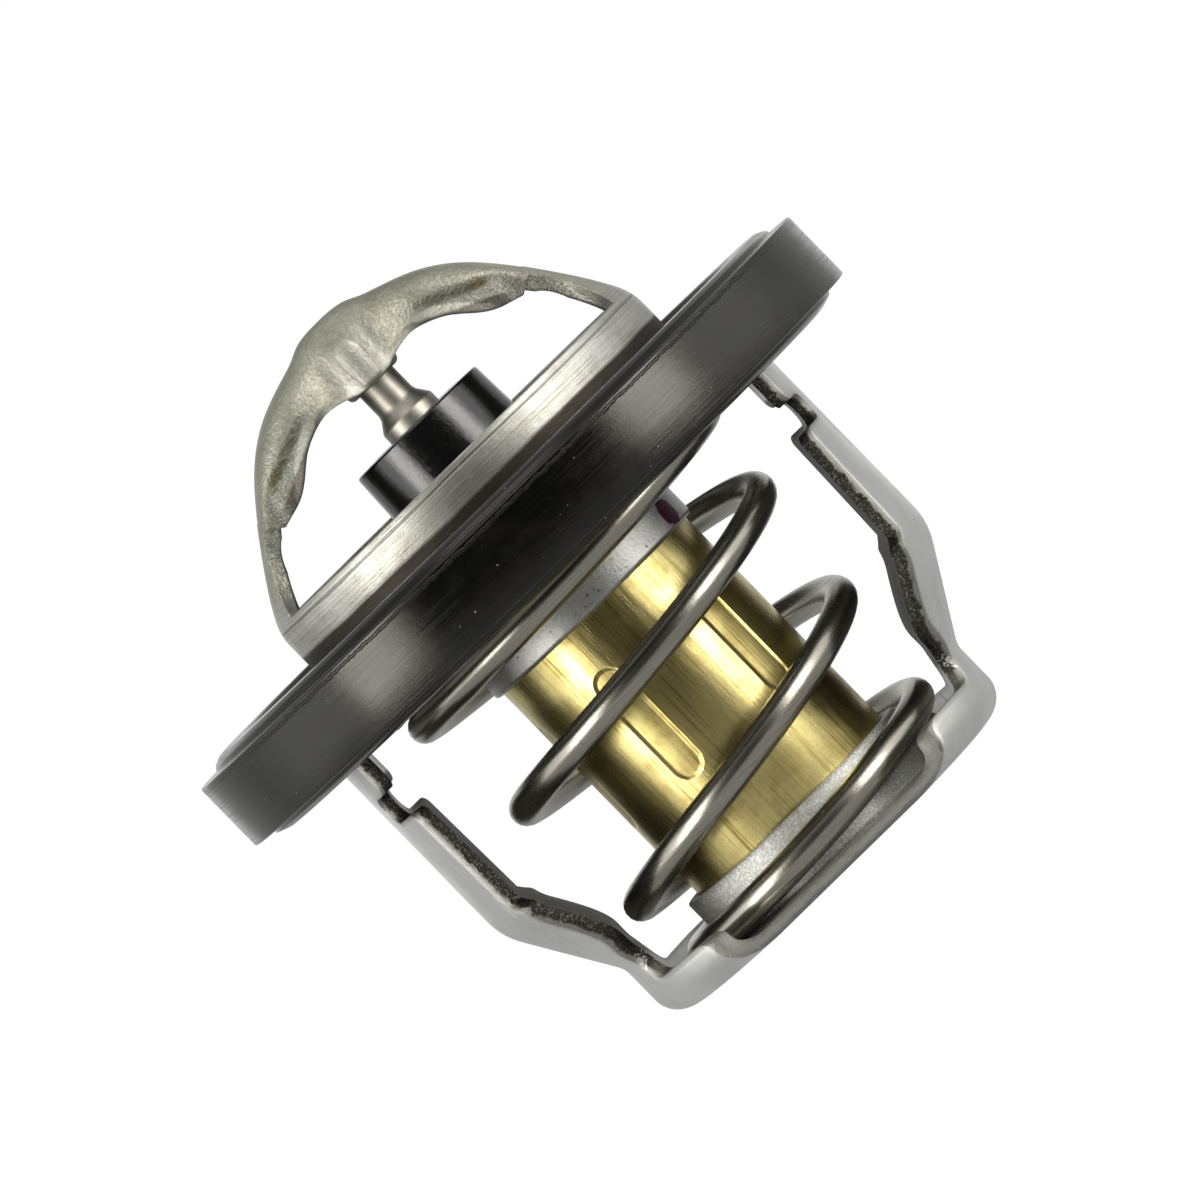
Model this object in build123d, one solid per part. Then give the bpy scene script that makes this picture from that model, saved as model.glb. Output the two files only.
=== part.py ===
from build123d import *
import math
import os

# Engine thermostat with a wax capsule and a moulded rim gasket.
# Millimetres, +Z up, origin under the foot on the axis of the valve.

# Driving dimensions of the gasket
gasket_radius = 30.0
gasket_band_bottom = 30.7
gasket_band_top = 36.5
gasket_width = 6.4
gasket_lip_height = 0.8
gasket_lip_setback = 1.7
gasket_lip_slope = 1.0
gasket_lower_lip_height = 0.7
gasket_crest_width = 2.4
gasket_corner = 0.6
gasket_cover = 2.6
gasket_face_slope = 1.4
groove_clearance = 0.05

# Driving dimensions of the upper frame
frame_sheet = 1.2
flange_underside = 33.0
collar_radius = 18.0
rim_height = 40.9
rim_shoulder = 1.5
arch_rise = 14.1
flange_bend = 0.5
socket_radius = 2.45
bridge_depth = 6.15
socket_depth = 3.7
strap_waist = 2.2
strap_half_width = 4.3
strap_leg_half_width = 4.0
strap_foot_half_width = 7.6
strap_round = 1.9
strap_waist_round = 1.76
strap_leg_round = 0.6
strap_round_fullness = 0.55
strap_roof_bevel = 0.4
strap_lip = 0.45
strap_lip_height = 0.3
strap_crease_depth = 3.0
strap_waist_crease_height = 1.3
strap_open_angle = 30.0
strap_fade_angle = 34.0
strap_end_angle = 57.0
strap_sections = 14
seam_overlap = 2.0
seam_step = 0.04
strap_fan_drop = 2.9
strap_skirt = 9.4
socket_clearance = 0.03
socket_mouth_round = 0.5
socket_wall_height = 2.75
leg_depth = 7.0
leg_flare_start = 3.4
leg_flare_middle = 2.0
leg_flare_width = 1.6
leg_foot_depth = 1.4
sill_round = 0.4

# Driving dimensions of the lower frame
cage_sheet = 1.0
gasket_clearance = 0.4
arm_bend_height = 13.4
ankle_height = 5.4
spring_margin = 2.825
dish_corner = 2.2
dish_wall_top = 3.4
dish_half_width = 13.1
arm_bend_radius = 4.5
ankle_bend_radius = 1.8
head_half_width = 7.5
head_bottom = 27.0
notch_half_width = 4.3
notch_bottom = 24.6
body_half_width = 9.1
hip_half_width = 10.4
hip_height = 14.0
ankle_half_width = 6.0
outline_round = 0.8
tongue_half_width = 4.0
tongue_clearance = 0.1
tab_length = 1.4
guide_collar_wall = 0.9
guide_collar_top = 5.5

# Driving dimensions of the wax element
capsule_radius = 9.3
capsule_wall = 0.8
capsule_bottom = 1.6
capsule_floor = 1.0
crimp_bottom = 26.0
crimp_wall = 0.6
crimp_cover = 1.4
crimp_round = 0.35
guide_shoulder_round = 0.5
guide_flange_top = 29.2
neck_wall = 1.81
neck_cover = 3.8
pad_count = 6
pad_first_angle = -110.0
pad_width = 2.6
pad_length = 10.4
pad_middle = 17.35
pad_depth = 0.3
slide_clearance = 0.15

# Driving dimensions of the piston and what surrounds it
piston_radius = 2.39
piston_neck_radius = 1.66
piston_cone_drop = 3.25
piston_cone_length = 0.9
piston_bottom = 12.0
piston_tip_radius = 1.2
piston_end_bevel = 0.25
piston_taper = 5.0
bore_clearance = 0.05
sleeve_clearance = 0.1
sleeve_wall = 1.1
sleeve_head_radius = 8.0
sleeve_head = 1.3
sleeve_end_gap = 0.6
sleeve_end_bevel = 0.6
backup_ring_thickness = 0.7
backup_ring_radius = 3.9
wiper_radius = 4.0
wiper_height = 1.8
wiper_lip = 0.5
cap_radius = 6.13
cap_top_radius = 5.98
cap_travel = 4.05
cap_roof = 1.7
cap_edge = 0.25
cap_mouth_clearance = 0.15
cap_crown = 0.15
stack_clearance = 0.05

# Driving dimensions of the valve disc and its ring
disc_sheet = 1.0
disc_clearance = 1.0
disc_dish_outer = 14.2
disc_dish_inner = 9.6
disc_bend = 1.0
disc_dish_shift = 0.6
seat_clearance = 0.05
ring_radius = 7.4
ring_thickness = 0.9
ring_bevel = 0.2

# Driving dimensions of the main spring
wire_radius = 1.225
spring_top_radius = 16.4
spring_foot_clearance = 0.375
spring_clearance = 0.03
spring_start_turn = -0.5
spring_end_turn = 3.95


def revolved(edges):
    """Solid of revolution about the valve axis, from a closed section of edges in radius and height."""
    return revolve(Plane.XZ * make_face(edges), Axis.Z)


def ring(points):
    """Solid of revolution with a straight-sided section, given as radius and height."""
    return revolve(Plane.XZ * make_face(Polyline(*points, close=True)), Axis.Z)


def tube(outer_radius, inner_radius, bottom, top):
    """Plain ring between two heights."""
    return ring([(inner_radius, bottom), (outer_radius, bottom), (outer_radius, top), (inner_radius, top)])


# Upper frame: one drawn and pierced sheet with flange, collar, two legs and a folded bridge.

flange_radius = gasket_radius - gasket_cover
gasket_inner_radius = gasket_radius - gasket_width
arm_radius = gasket_inner_radius - gasket_clearance - tab_length
collar_straight_top = rim_height - rim_shoulder
dome_height = rim_height + arch_rise
socket_mouth = dome_height - bridge_depth
strap_fan_height = rim_height - strap_fan_drop
strap_fan_foot = dome_height - strap_skirt - strap_fan_height

# Silhouette of the dome, as shares of its radius and of its rise above the straight collar.
dome_shares = [(1, 0), (0.956, 0.167), (0.828, 0.397), (0.631, 0.68), (0.406, 0.865), (0.172, 0.962), (0, 1)]
dome_rise = dome_height - collar_straight_top
dome_silhouette = Spline(
    *[(collar_radius * out, collar_straight_top + dome_rise * up) for out, up in dome_shares],
    tangents=((0, 1), (-1, 0)),
)


def dome_inner_silhouette():
    """Inner face of the drawn dome, one sheet thickness in from the outer face."""
    points = []
    for step in range(1, 9):
        place = dome_silhouette @ (step / 9)
        along = dome_silhouette % (step / 9)
        points.append((place.X - frame_sheet * along.Y, place.Y + frame_sheet * along.X))
    start = (collar_radius - frame_sheet, collar_straight_top)
    end = (0, dome_height - frame_sheet)
    return Spline(start, *points, end, tangents=((0, 1), (-1, 0)))


def drawn_shell():
    """Flange, collar and closed dome as they leave the drawing press."""
    inner = dome_inner_silhouette()
    outer_bend = collar_radius + flange_bend
    inner_wall = collar_radius - frame_sheet
    flange_top = flange_underside + frame_sheet
    bend_height = flange_top + flange_bend
    flange_edge = (flange_radius, flange_underside)
    return revolved([
        Line(flange_edge, (flange_radius, flange_top)),
        Line((flange_radius, flange_top), (outer_bend, flange_top)),
        CenterArc((outer_bend, bend_height), flange_bend, 180, 90),
        Line((collar_radius, bend_height), dome_silhouette @ 0),
        dome_silhouette,
        Line(dome_silhouette @ 1, inner @ 1),
        inner,
        Line(inner @ 0, (inner_wall, bend_height)),
        CenterArc((outer_bend, bend_height), flange_bend + frame_sheet, 180, 90),
        Line((outer_bend, flange_underside), flange_edge),
    ])


def silhouette_at(fan_angle, side):
    """Distance of the dome from the fan point, in the fan plane at this angle and offset along Y."""
    low, high = 0.0, 1.0
    while high - low > 1e-7:
        middle = (low + high) / 2
        place = dome_silhouette @ middle
        reach = math.sqrt(max(place.X ** 2 - side ** 2, 0))
        if math.atan2(reach, place.Y - strap_fan_height) > math.radians(fan_angle):
            low = middle
        else:
            high = middle
    return math.hypot(reach, place.Y - strap_fan_height)


def eased(value, start, end):
    """Share of the way from start to end, with a soft start and a soft end."""
    share = min(max((value - start) / (end - start), 0), 1)
    return share ** 3 * (10 - 15 * share + 6 * share ** 2)


def strap_form(fan_angle):
    """Half width, edge rounding, lip, depth of its crease and sinking of the crown at this fan angle."""
    opened = eased(abs(fan_angle), 0, strap_open_angle)
    ended = eased(abs(fan_angle), strap_fade_angle, strap_end_angle)
    half_width = strap_waist + (strap_half_width - strap_waist) * opened
    half_width -= (strap_half_width - strap_leg_half_width + seam_step) * ended
    rounding = strap_waist_round + (strap_round - strap_waist_round) * opened
    rounding -= (strap_round - strap_leg_round) * ended
    lip = strap_lip * opened * (1 - ended)
    waist_crease_depth = bridge_depth - strap_waist_crease_height
    crease_depth = waist_crease_depth + (strap_crease_depth - waist_crease_depth) * opened
    return half_width, rounding, lip, crease_depth, seam_step * ended


def fan_plane(fan_angle):
    """Plane that turns about the fan line along Y, at this angle from upright."""
    angle = math.radians(fan_angle)
    return Plane((0, 0, strap_fan_height), x_dir=(0, 1, 0), z_dir=(math.cos(angle), 0, -math.sin(angle)))


def strap_section(fan_angle):
    """Section of the folded bridge in one fan plane: a rounded crown on two walls with flared lips."""
    half_width, soft, lip, crease_depth, sunk = strap_form(fan_angle)
    crown = silhouette_at(abs(fan_angle), 0) - sunk
    flat = half_width - soft
    turn = silhouette_at(abs(fan_angle), flat) - sunk
    slope = 2 * (turn - crown) / flat
    shoulder = turn - soft
    crease = crown - crease_depth
    lip_start = crease - lip - strap_lip_height
    edge = half_width + lip
    handle = strap_round_fullness * soft

    wide = half_width - frame_sheet
    bevel = strap_roof_bevel * wide
    roof = turn - frame_sheet
    inner_edge = edge - frame_sheet

    def wall(side):
        outside = [(side * half_width, shoulder), (side * half_width, crease), (side * edge, lip_start),
                   (side * edge, strap_fan_foot)]
        inside = [(side * inner_edge, strap_fan_foot), (side * inner_edge, lip_start), (side * wide, crease),
                  (side * wide, roof - bevel), (side * (wide - bevel), roof)]
        return Polyline(*outside, *inside).edges()

    def corner(side):
        return Bezier(
            (side * flat, turn), (side * (flat + handle), turn + slope * handle),
            (side * half_width, shoulder + handle), (side * half_width, shoulder))

    top = Bezier((-flat, turn), (0, 2 * crown - turn), (flat, turn))
    under = Line((bevel - wide, roof), (wide - bevel, roof))
    return fan_plane(fan_angle) * make_face([*wall(-1), corner(-1), top, corner(1), *wall(1), under])


def strap_body():
    """Folded bridge from leg to leg, before the windows give its walls their lower edges."""
    step = strap_end_angle / strap_sections
    return loft([strap_section(step * number) for number in range(-strap_sections, strap_sections + 1)])


def socket_body():
    """Round boss under the crown that the top of the piston sits in."""
    flat_radius = socket_radius - socket_mouth_round
    wall_bottom = socket_mouth + socket_mouth_round
    wall_top = socket_mouth + socket_wall_height
    top = dome_height - frame_sheet
    over = Spline((socket_radius, wall_top), (0, top), tangents=((0, 1), (-1, 0)))
    return revolved([
        Line((0, socket_mouth), (flat_radius, socket_mouth)),
        CenterArc((flat_radius, wall_bottom), socket_mouth_round, 270, 90),
        Line((socket_radius, wall_bottom), (socket_radius, wall_top)), over,
        Line((0, top), (0, socket_mouth)),
    ])


def bridge_gap():
    """Wedge of the drawn dome that the folded bridge takes the place of."""
    lean = math.tan(math.radians(strap_end_angle - seam_overlap))
    top = dome_height + 2
    half = [
        (0, rim_height), ((rim_height - strap_fan_height) * lean, rim_height),
        ((top - strap_fan_height) * lean, top), (0, top),
    ]
    right = make_face(Polyline(*half, close=True))
    face = right + mirror(right, Plane.YZ)
    return extrude(Plane.XZ * face, collar_radius + 2, both=True)


# Upper edge of the right window, as shares of the collar's radius and of the height from rim to crown.
window_shares = [
    (0.089, 0.578), (0.161, 0.610), (0.244, 0.624), (0.325, 0.598), (0.406, 0.546), (0.489, 0.457),
    (0.569, 0.393), (0.650, 0.362), (0.731, 0.315), (0.783, 0.231), (0.819, 0.078),
]


def window_tool():
    """What the two pierced windows leave open below the bridge, seen from the front."""
    arch = Spline(*[(collar_radius * out, rim_height + arch_rise * up) for out, up in window_shares])
    start, sill = arch @ 0, arch @ 1
    corner = (sill.X + 0.75 * sill_round, rim_height + 1.25 * sill_round)
    low_corner = (sill.X - sill_round, rim_height)
    sill_curve = Spline(sill, corner, low_corner, tangents=((0.05, -1), (-1, 0)))
    edges = [
        Line((0, socket_mouth), start), arch, sill_curve,
        Line(low_corner, (0, rim_height)), Line((0, rim_height), (0, socket_mouth)),
    ]
    right = make_face(edges)
    face = right + mirror(right, Plane.YZ)
    return extrude(Plane.XZ * face, collar_radius + 2, both=True)


def leg_outline():
    """Plan of the two legs, seen from above: narrow above, wide where they grow out of the collar."""
    front = Spline(
        (collar_radius - leg_depth, -strap_leg_half_width),
        (collar_radius - leg_flare_start, -strap_leg_half_width),
        (collar_radius - leg_flare_middle, -strap_leg_half_width - leg_flare_width),
        (collar_radius - leg_foot_depth, -strap_foot_half_width),
        tangents=((1, 0), (0.3, -1)),
    )
    start, end = front @ 0, front @ 1
    far = (collar_radius + 2, end.Y)
    edges = [front, Line(end, far), Line(far, (far[0], 0)), Line((far[0], 0), (start.X, 0)),
             Line((start.X, 0), start)]
    quarter = make_face(edges)
    right = quarter + mirror(quarter, Plane.XZ)
    return right + mirror(right, Plane.YZ)


def make_upper_frame():
    height = dome_height + 1 - rim_height
    above_rim = Plane.XY.offset(rim_height)
    pierced = above_rim * extrude(Circle(collar_radius + 2) - leg_outline(), height)
    legs = drawn_shell() - pierced - bridge_gap()
    bore = extrude(Circle(piston_neck_radius + socket_clearance), socket_depth + 1)
    bridge = strap_body() - window_tool() + socket_body() - Plane.XY.offset(socket_mouth - 1) * bore
    return legs - window_tool() + bridge - tongue_slots()


# Lower frame: one stamped strip with hooked heads, two bent arms, a dish and a drawn-up guide collar.

arm_inner_radius = arm_radius - cage_sheet
guide_inner_radius = capsule_radius + slide_clearance
guide_collar_radius = guide_inner_radius + guide_collar_wall
spring_bottom_radius = guide_collar_radius + wire_radius + spring_foot_clearance
dish_radius = spring_bottom_radius + wire_radius + spring_margin + cage_sheet
arm_slope = math.atan2(arm_radius - dish_radius, arm_bend_height - ankle_height)
bend_shift = cage_sheet * math.tan(arm_slope / 2)
flange_top = flange_underside + frame_sheet
head_top = flange_underside - stack_clearance
tab_bottom = flange_top + stack_clearance
tab_top = tab_bottom + cage_sheet


def tongue_slots():
    """Two curved slots in the flange for the tongues of the lower frame."""
    slot_ring = tube(arm_radius + tongue_clearance, arm_inner_radius - tongue_clearance,
                     flange_underside - 1, flange_top + 1)
    return slot_ring & Box(4 * arm_radius, 2 * (tongue_half_width + tongue_clearance), 4 * flange_top)


def cage_shell():
    """Shell of revolution that both arms and the dish are bent to, with the guide collar in its floor."""
    inner_dish = dish_radius - cage_sheet
    points = [
        (arm_radius + tab_length, tab_bottom),
        (arm_radius + tab_length, tab_top),
        (arm_inner_radius, tab_top),
        (arm_inner_radius, arm_bend_height + bend_shift),
        (inner_dish, ankle_height + bend_shift),
        (inner_dish, cage_sheet),
        (guide_collar_radius, cage_sheet),
        (guide_collar_radius, guide_collar_top),
        (guide_inner_radius, guide_collar_top),
        (guide_inner_radius, 0),
        (dish_radius, 0),
        (dish_radius, ankle_height),
        (arm_radius, arm_bend_height),
        (arm_radius, tab_bottom),
    ]
    section = make_face(Polyline(*points, close=True))
    bends = {
        2: cage_sheet,
        3: arm_bend_radius,
        4: ankle_bend_radius + cage_sheet,
        5: dish_corner - cage_sheet,
        6: cage_sheet * 0.4,
        7: cage_sheet * 0.4,
        9: cage_sheet,
        10: dish_corner,
        11: ankle_bend_radius,
        12: arm_bend_radius + cage_sheet,
    }
    for number, radius in bends.items():
        place = Vector(*points[number])
        corner = section.vertices().sort_by_distance(place)[0]
        section = fillet(corner, radius)
    return revolve(Plane.XZ * section, Axis.Z)


def strip_outline():
    """Outline of the stamped strip, seen along the X axis, with Y across and height upward."""
    waist = [
        (tongue_half_width, tab_top + 1),
        (tongue_half_width, head_top),
        (head_half_width, head_top),
        (head_half_width, head_bottom),
        (notch_half_width, head_bottom),
        (notch_half_width, notch_bottom),
        (body_half_width - 0.3, notch_bottom),
        (body_half_width + 0.2, hip_height + 0.9),
        (hip_half_width, hip_height),
    ]
    hip = Spline(
        (hip_half_width, hip_height),
        (hip_half_width - 0.4, hip_height - 2.8),
        (hip_half_width - 1.6, hip_height - 5.7),
        (ankle_half_width + 1.0, ankle_height + 1.4),
        (ankle_half_width, ankle_height),
        (ankle_half_width + 0.35, dish_wall_top + 0.9),
        (ankle_half_width + 1.5, dish_wall_top),
        tangents=((-0.1, -1), (1, -0.1)),
    )
    wall = [
        (ankle_half_width + 1.5, dish_wall_top),
        (dish_half_width - 0.4, dish_wall_top),
        (dish_half_width + 0.1, -1),
    ]
    upper = Polyline((0, tab_top + 1), *waist)
    lower = Polyline(*wall, (0, -1), (0, tab_top + 1))
    half = make_face([*upper.edges(), hip, *lower.edges()])
    corners = [
        (waist[2], outline_round * 0.5), (waist[3], outline_round), (waist[4], outline_round * 1.2),
        (waist[5], outline_round * 1.5), (waist[6], outline_round), (waist[8], outline_round * 0.5),
        (wall[1], outline_round),
    ]
    for place, radius in corners:
        corner = half.vertices().sort_by_distance(Vector(*place))[0]
        half = fillet(corner, radius)
    return half + mirror(half, Plane.YZ)


def make_lower_frame():
    strip = extrude(Plane.YZ * strip_outline(), arm_radius + tab_length + 1, both=True)
    return cage_shell() & strip


def make_gasket():
    lip = gasket_lip_setback
    crest_outer = gasket_radius - lip - gasket_lip_slope
    crest_inner = crest_outer - gasket_crest_width
    upper = gasket_band_top + gasket_lip_height
    lower = gasket_band_bottom - gasket_lower_lip_height
    groove_top = flange_top + groove_clearance
    groove_bottom = flange_underside - groove_clearance
    groove_radius = flange_radius + groove_clearance
    points = [
        (gasket_radius, gasket_band_bottom), (gasket_radius, gasket_band_top),
        (gasket_radius - lip, gasket_band_top), (crest_outer, upper), (crest_inner, upper),
        (gasket_inner_radius, groove_top + gasket_face_slope), (gasket_inner_radius, groove_top),
        (groove_radius, groove_top), (groove_radius, groove_bottom),
        (gasket_inner_radius, groove_bottom), (gasket_inner_radius, groove_bottom - gasket_face_slope),
        (crest_inner, lower), (crest_outer - 0.1, lower), (gasket_radius - lip - 0.1, gasket_band_bottom),
    ]
    section = make_face(Polyline(*points, close=True))
    for number, radius in ((0, gasket_corner), (3, gasket_corner), (12, gasket_corner)):
        corner = section.vertices().sort_by_distance(Vector(*points[number]))[0]
        section = fillet(corner, radius)
    return revolve(Plane.XZ * section, Axis.Z)


# Piston, which hangs from the socket of the bridge and reaches down into the element.

piston_top = socket_mouth + socket_depth - stack_clearance
piston_cone_bottom = socket_mouth - piston_cone_drop
piston_cone_top = piston_cone_bottom + piston_cone_length


def make_piston():
    return ring([
        (0, piston_bottom), (piston_tip_radius, piston_bottom),
        (piston_radius, piston_bottom + piston_taper), (piston_radius, piston_cone_bottom),
        (piston_neck_radius, piston_cone_top), (piston_neck_radius, piston_top - piston_end_bevel),
        (piston_neck_radius - piston_end_bevel, piston_top), (0, piston_top),
    ])


# Wax element: capsule, wax, rubber sleeve, backup ring and the guide that is crimped over the capsule.

capsule_top = crimp_bottom + crimp_cover
crimp_radius = capsule_radius + crimp_wall
cap_top = socket_mouth - cap_travel
neck_radius = piston_radius + neck_wall
neck_top = cap_top - neck_cover
bore_radius = piston_radius + bore_clearance
sleeve_bore = piston_radius + sleeve_clearance
sleeve_radius = sleeve_bore + sleeve_wall
sleeve_bottom = piston_bottom - sleeve_wall - sleeve_end_gap
sleeve_head_bottom = capsule_top - sleeve_head
neck_bore = neck_radius + stack_clearance
hub_top = guide_flange_top + disc_sheet
ring_top = hub_top + ring_thickness
roof_bottom = cap_top - cap_roof


def make_wax_capsule():
    inner = capsule_radius - capsule_wall
    section = make_face(Polyline(
        (0, capsule_bottom), (capsule_radius, capsule_bottom), (capsule_radius, capsule_top),
        (inner, capsule_top), (inner, capsule_bottom + capsule_floor), (0, capsule_bottom + capsule_floor),
        close=True))
    edge = section.vertices().sort_by_distance(Vector(capsule_radius, capsule_bottom))[0]
    section = fillet(edge, capsule_floor)
    cup = revolve(Plane.XZ * section, Axis.Z)
    for number in range(pad_count):
        angle = math.radians(pad_first_angle + number * 360 / pad_count)
        outward = (math.cos(angle), math.sin(angle), 0)
        reach = capsule_radius - pad_depth
        middle = (outward[0] * reach, outward[1] * reach, pad_middle)
        across = (-outward[1], outward[0], 0)
        pad = SlotOverall(pad_length, pad_width, rotation=90)
        cup -= Plane(middle, x_dir=across, z_dir=outward) * extrude(pad, 2)
    return cup


def make_wax_charge():
    radius = capsule_radius - capsule_wall - stack_clearance
    bottom = capsule_bottom + capsule_floor + stack_clearance
    top = sleeve_head_bottom - stack_clearance
    core = sleeve_radius + stack_clearance
    core_bottom = sleeve_bottom - stack_clearance
    return ring([
        (0, bottom), (radius, bottom), (radius, top), (core, top), (core, core_bottom), (0, core_bottom),
    ])


def make_seal_sleeve():
    head_top = capsule_top - stack_clearance
    return ring([
        (0, sleeve_bottom), (sleeve_radius - sleeve_end_bevel, sleeve_bottom),
        (sleeve_radius, sleeve_bottom + sleeve_end_bevel),
        (sleeve_radius, sleeve_head_bottom), (sleeve_head_radius, sleeve_head_bottom),
        (sleeve_head_radius, head_top), (sleeve_bore, head_top),
        (sleeve_bore, sleeve_bottom + sleeve_wall), (0, sleeve_bottom + sleeve_wall),
    ])


def make_backup_ring():
    return tube(backup_ring_radius, bore_radius, capsule_top, capsule_top + backup_ring_thickness)


def make_element_guide():
    pocket_radius = backup_ring_radius + stack_clearance
    pocket_top = capsule_top + backup_ring_thickness + stack_clearance
    skirt = capsule_radius + stack_clearance
    section = make_face(Polyline(
        (bore_radius, neck_top), (bore_radius, pocket_top), (pocket_radius, pocket_top),
        (pocket_radius, capsule_top + stack_clearance), (skirt, capsule_top + stack_clearance),
        (skirt, crimp_bottom), (crimp_radius, crimp_bottom), (crimp_radius, guide_flange_top),
        (neck_radius, guide_flange_top), (neck_radius, neck_top), close=True))
    rounds = ((crimp_bottom, crimp_round), (guide_flange_top, guide_shoulder_round))
    for height, radius in rounds:
        corner = section.vertices().sort_by_distance(Vector(crimp_radius, height))[0]
        section = fillet(corner, radius)
    return revolve(Plane.XZ * section, Axis.Z)


def make_piston_wiper():
    bottom = neck_top + stack_clearance
    top = bottom + wiper_height
    flared = bore_radius + wiper_lip
    return ring([
        (flared, bottom), (wiper_radius, bottom), (wiper_radius, top), (flared, top),
        (bore_radius, top - wiper_lip), (bore_radius, bottom + wiper_lip),
    ])


def make_guide_cap():
    bottom = ring_top + stack_clearance
    slope = (cap_radius - cap_top_radius) / (cap_top - rim_height)
    foot_radius = cap_top_radius + slope * (cap_top - bottom)
    mouth = bore_radius + cap_mouth_clearance
    section = make_face(Polyline(
        (neck_bore, bottom), (foot_radius, bottom), (cap_top_radius, cap_top - cap_crown), (mouth, cap_top),
        (mouth, roof_bottom), (neck_bore, roof_bottom), close=True))
    corner = section.vertices().sort_by_distance(Vector(cap_top_radius, cap_top - cap_crown))[0]
    section = fillet(corner, cap_edge)
    return revolve(Plane.XZ * section, Axis.Z)


# Valve disc, dished so that its hub sits on the guide and its rim meets the flange from below.

disc_top = flange_underside - seat_clearance
disc_radius = arm_inner_radius - disc_clearance


def make_valve_disc():
    points = [
        (neck_bore, guide_flange_top), (disc_dish_inner, guide_flange_top),
        (disc_dish_outer, disc_top - disc_sheet), (disc_radius, disc_top - disc_sheet),
        (disc_radius, disc_top), (disc_dish_outer - disc_dish_shift, disc_top),
        (disc_dish_inner - disc_dish_shift, hub_top), (neck_bore, hub_top),
    ]
    section = make_face(Polyline(*points, close=True))
    bends = ((1, disc_bend), (2, disc_bend), (4, disc_sheet * 0.3), (5, disc_bend), (6, disc_bend))
    for number, radius in bends:
        corner = section.vertices().sort_by_distance(Vector(*points[number]))[0]
        section = fillet(corner, radius)
    return revolve(Plane.XZ * section, Axis.Z)


def make_valve_retaining_ring():
    return chamfer(tube(ring_radius, neck_bore, hub_top, ring_top).edges().group_by(Axis.Z)[-1], ring_bevel)


# Main spring: a tapered coil between the dish floor and the disc, one quarter turn to each height.

spring_bottom = cage_sheet + wire_radius + spring_clearance
spring_top = disc_top - disc_sheet - wire_radius - spring_clearance
# Share of the height at each quarter turn, from the end under the disc down to the end on the floor.
coil_heights = [1.0, 1.0, 0.996, 0.95, 0.916, 0.845, 0.754, 0.655, 0.582, 0.5, 0.418, 0.3,
                0.2, 0.142, 0.0905, 0.03, 0.004, 0.0, 0.0]


def coil_height(turn):
    """Height of the wire's centre line after this many turns, smooth through the quarter-turn heights."""
    place = (turn - spring_start_turn) * 4
    step = min(max(int(place), 0), len(coil_heights) - 2)
    share = place - step
    before = coil_heights[max(step - 1, 0)]
    start = coil_heights[step]
    end = coil_heights[step + 1]
    after = coil_heights[min(step + 2, len(coil_heights) - 1)]
    bend = 2 * before - 5 * start + 4 * end - after
    twist = -before + 3 * start - 3 * end + after
    value = start + 0.5 * share * (end - before + share * (bend + share * twist))
    return spring_bottom + (spring_top - spring_bottom) * min(max(value, 0), 1)


def make_main_spring():
    steps = round((spring_end_turn - spring_start_turn) * 12)
    points = []
    for step in range(steps + 1):
        turn = spring_start_turn + (spring_end_turn - spring_start_turn) * step / steps
        share = min(max((turn + 0.5) / 4.0, 0), 1)
        radius = spring_top_radius + (spring_bottom_radius - spring_top_radius) * share
        angle = -2 * math.pi * turn
        points.append((radius * math.cos(angle), radius * math.sin(angle), coil_height(turn)))
    path = Spline(*points)
    return sweep(Plane(path @ 0, z_dir=path % 0) * Circle(wire_radius), path=path)


os.makedirs("parts", exist_ok=True)

pieces = {
    "upper_frame": make_upper_frame,
    "lower_frame": make_lower_frame,
    "rim_gasket": make_gasket,
    "piston": make_piston,
    "main_spring": make_main_spring,
    "valve_disc": make_valve_disc,
    "valve_retaining_ring": make_valve_retaining_ring,
    "element_guide": make_element_guide,
    "guide_cap": make_guide_cap,
    "piston_wiper": make_piston_wiper,
    "backup_ring": make_backup_ring,
    "seal_sleeve": make_seal_sleeve,
    "wax_charge": make_wax_charge,
    "wax_capsule": make_wax_capsule,
}
for name, make in pieces.items():
    export_step(make(), f"parts/{name}.step")
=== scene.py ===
import bpy
import math
from mathutils import Matrix, Vector


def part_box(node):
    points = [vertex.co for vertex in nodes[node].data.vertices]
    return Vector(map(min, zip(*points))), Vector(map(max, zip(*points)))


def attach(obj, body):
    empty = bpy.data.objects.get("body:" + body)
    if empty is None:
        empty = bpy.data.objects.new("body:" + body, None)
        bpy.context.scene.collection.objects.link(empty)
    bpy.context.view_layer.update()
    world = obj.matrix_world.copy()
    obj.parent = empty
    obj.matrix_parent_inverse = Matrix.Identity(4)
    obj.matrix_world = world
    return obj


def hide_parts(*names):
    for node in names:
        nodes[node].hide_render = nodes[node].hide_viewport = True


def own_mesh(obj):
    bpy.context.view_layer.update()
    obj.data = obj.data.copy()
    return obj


# Engine thermostat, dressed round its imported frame. Metres, +Z up, foot on the floor.
# Sizes in the dictionaries are millimetres, except those of the lamps and the floor, which are metres.

mm = 0.001
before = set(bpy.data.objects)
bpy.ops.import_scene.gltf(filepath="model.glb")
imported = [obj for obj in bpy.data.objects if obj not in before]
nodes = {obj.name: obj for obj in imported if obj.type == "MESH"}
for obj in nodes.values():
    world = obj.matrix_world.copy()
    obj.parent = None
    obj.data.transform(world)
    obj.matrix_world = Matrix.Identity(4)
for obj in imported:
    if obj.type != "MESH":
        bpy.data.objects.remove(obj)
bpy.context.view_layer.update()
print("frame loaded:", len(nodes), "nodes")


def reach(nodeName):                                 # a node's radius, bottom and top in millimetres
    low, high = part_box(nodeName)
    return high[0] / mm, low[2] / mm, high[2] / mm


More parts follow.
